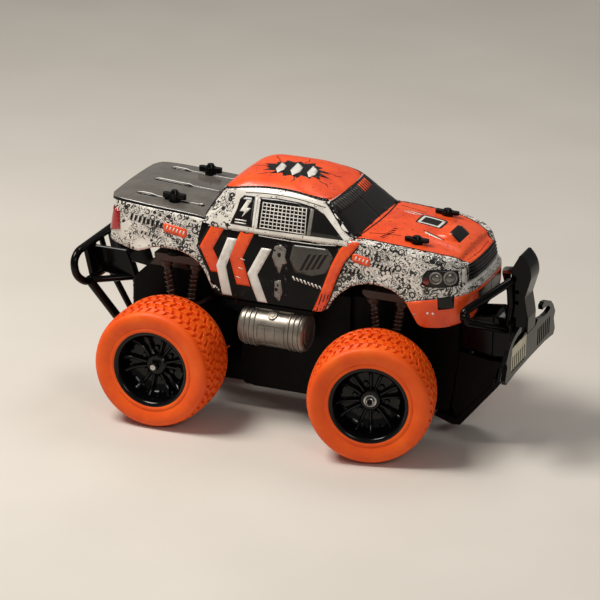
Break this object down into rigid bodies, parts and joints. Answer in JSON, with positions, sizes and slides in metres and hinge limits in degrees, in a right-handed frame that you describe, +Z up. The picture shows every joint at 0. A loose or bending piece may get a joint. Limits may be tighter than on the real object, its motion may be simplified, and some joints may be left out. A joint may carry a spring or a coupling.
{
  "type": "rc monster truck",
  "caption": "Radio-controlled toy truck: lift-off pickup shell on a sprung chassis with steered front wheels, geared rear axle, tubular bumpers and side tanks.",
  "frame": {"origin": "on the ground under the centre of the truck's bounding box", "axes": "+X towards the front of the truck, +Y to its left, +Z up"},
  "size_m": [0.3369, 0.1938, 0.181],
  "materials": {
    "tyre_orange": "moulded soft plastic, satin",
    "rim_black": "gloss",
    "chassis_black": "satin moulded",
    "bumper_black": "semi-gloss moulded",
    "shell_livery": "printed and lacquered",
    "window_dark": "gloss, dark tinted",
    "bed_grey": "gloss",
    "lamp_clear": "gloss",
    "lamp_red": "gloss",
    "grille_black": "gloss",
    "tank_grey": "satin silver-grey",
    "shock_brown": "satin dark brown",
    "spring_steel": "bronzed wire",
    "steel": "satin",
    "gear_white": "natural nylon",
    "circuit_green": "solder resist",
    "cell_wrap": "shrink wrap",
    "contact_brass": "nickel brass strip"
  },
  "bodies": {
    "chassis": {"chassis_tub": "chassis_black", "top_deck": "chassis_black", "battery_door": "chassis_black", "battery_cells": "cell_wrap", "battery_contacts": "contact_brass", "circuit_board": "circuit_green", "steering_servo": "chassis_black", "switch_case": "chassis_black", "front_shock_tower": "shock_brown", "rear_shock_tower": "shock_brown", "body_posts": "chassis_black", "front_shock_cylinders": "shock_brown", "rear_shock_cylinders": "shock_brown", "front_springs": "spring_steel", "rear_springs": "spring_steel", "side_tank_right": "tank_grey", "side_tank_left": "tank_grey", "rear_bumper": "bumper_black", "front_bumper": "bumper_black", "front_fin": "bumper_black", "hook_bar": "bumper_black", "skid_grille": "bumper_black", "skid_plate": "chassis_black", "chassis_screws": "steel"},
    "power_switch": {"switch_slider": "chassis_black"},
    "servo_horn": {"servo_horn": "gear_white"},
    "front_axle": {"front_axle_beam": "chassis_black", "front_shock_rods": "steel"},
    "tie_rod": {"tie_rod": "chassis_black"},
    "knuckle_right": {"steering_knuckle_right": "chassis_black"},
    "knuckle_left": {"steering_knuckle_left": "chassis_black"},
    "front_wheel_right": {"front_tyre_right": "tyre_orange", "front_rim_right": "rim_black", "front_wheel_nut_right": "steel"},
    "front_wheel_left": {"front_tyre_left": "tyre_orange", "front_rim_left": "rim_black", "front_wheel_nut_left": "steel"},
    "rear_axle": {"gearbox_half_right": "chassis_black", "gearbox_half_left": "chassis_black", "drive_motor": "steel", "rear_shock_rods": "steel"},
    "rear_wheels": {"rear_axle_shaft": "steel", "drive_gear": "gear_white", "rear_tyre_right": "tyre_orange", "rear_tyre_left": "tyre_orange", "rear_rim_right": "rim_black", "rear_rim_left": "rim_black", "rear_wheel_nuts": "steel"},
    "idler_gear": {"idler_gear": "gear_white"},
    "motor_pinion": {"motor_pinion": "gear_white"},
    "body_shell": {"body_shell": "shell_livery", "window_glazing": "window_dark", "bed_cover": "bed_grey", "grille": "grille_black", "headlamps": "lamp_clear", "tail_lamps": "lamp_red"},
    "hood_knob_right": {"hood_knob_right": "bumper_black"},
    "hood_knob_left": {"hood_knob_left": "bumper_black"},
    "bed_knob_right": {"bed_knob_right": "bumper_black"},
    "bed_knob_left": {"bed_knob_left": "bumper_black"}
  },
  "joints": [
    {"name": "body_shell_lift", "type": "slide", "parent": "chassis", "child": "body_shell", "axis": [0, 0, 1], "range_m": [0, 0.06]},
    {"name": "hood_knob_right_turn", "type": "hinge", "parent": "body_shell", "child": "hood_knob_right", "pos_m": [0.0893, -0.0323, 0.15], "axis": [0, 0, 1], "range_deg": [0, 90]},
    {"name": "hood_knob_left_turn", "type": "hinge", "parent": "body_shell", "child": "hood_knob_left", "pos_m": [0.0893, 0.0323, 0.15], "axis": [0, 0, 1], "range_deg": [0, 90]},
    {"name": "bed_knob_right_turn", "type": "hinge", "parent": "body_shell", "child": "bed_knob_right", "pos_m": [-0.0942, -0.033, 0.155], "axis": [0, 0, 1], "range_deg": [0, 90]},
    {"name": "bed_knob_left_turn", "type": "hinge", "parent": "body_shell", "child": "bed_knob_left", "pos_m": [-0.0942, 0.033, 0.155], "axis": [0, 0, 1], "range_deg": [0, 90]},
    {"name": "front_suspension", "type": "slide", "parent": "chassis", "child": "front_axle", "axis": [0, 0, 1], "range_m": [-0.003, 0.004], "stiffness_N_per_m": 1500, "springref_m": -0.0012, "deforming": ["front_springs"]},
    {"name": "rear_suspension", "type": "slide", "parent": "chassis", "child": "rear_axle", "axis": [0, 0, 1], "range_m": [-0.003, 0.004], "stiffness_N_per_m": 1500, "springref_m": -0.0012, "deforming": ["rear_springs"]},
    {"name": "steer_right", "type": "hinge", "parent": "front_axle", "child": "knuckle_right", "pos_m": [0.0679, -0.0504, 0.045], "axis": [0, 0, 1], "range_deg": [-35.4, 8.6]},
    {"name": "steer_left", "type": "hinge", "parent": "front_axle", "child": "knuckle_left", "pos_m": [0.0679, 0.0504, 0.045], "axis": [0, 0, 1], "range_deg": [-35.4, 8.6]},
    {"name": "tie_rod_slide", "type": "slide", "parent": "front_axle", "child": "tie_rod", "axis": [0, 1, 0], "range_m": [-0.0026, 0.01]},
    {"name": "servo_horn_turn", "type": "hinge", "parent": "chassis", "child": "servo_horn", "pos_m": [0.0679, 0, 0.06], "axis": [0, 0, 1], "range_deg": [-35.4, 8.6]},
    {"name": "front_wheel_right_spin", "type": "hinge", "parent": "knuckle_right", "child": "front_wheel_right", "pos_m": [0.07161, -0.06596, 0.045], "axis": [-0.2317, 0.9728, 0], "continuous": true},
    {"name": "front_wheel_left_spin", "type": "hinge", "parent": "knuckle_left", "child": "front_wheel_left", "pos_m": [0.06419, 0.06596, 0.045], "axis": [-0.2317, 0.9728, 0], "continuous": true},
    {"name": "rear_wheels_spin", "type": "hinge", "parent": "rear_axle", "child": "rear_wheels", "pos_m": [-0.089, 0, 0.045], "axis": [0, 1, 0], "continuous": true},
    {"name": "idler_spin", "type": "hinge", "parent": "rear_axle", "child": "idler_gear", "pos_m": [-0.07402, 0, 0.05701], "axis": [0, 1, 0], "continuous": true},
    {"name": "motor_spin", "type": "hinge", "parent": "rear_axle", "child": "motor_pinion", "pos_m": [-0.05853, 0, 0.06101], "axis": [0, 1, 0], "continuous": true},
    {"name": "power_switch_slide", "type": "slide", "parent": "chassis", "child": "power_switch", "axis": [1, 0, 0], "range_m": [0, 0.003]}
  ],
  "couplings": [
    {"joint": "steer_left", "follows": "steer_right", "ratio": 1},
    {"joint": "servo_horn_turn", "follows": "steer_right", "ratio": 1},
    {"joint": "tie_rod_slide", "follows": "steer_right", "m_per_rad": -0.0157},
    {"joint": "idler_spin", "follows": "rear_wheels_spin", "ratio": -3},
    {"joint": "motor_spin", "follows": "rear_wheels_spin", "ratio": 9}
  ]
}
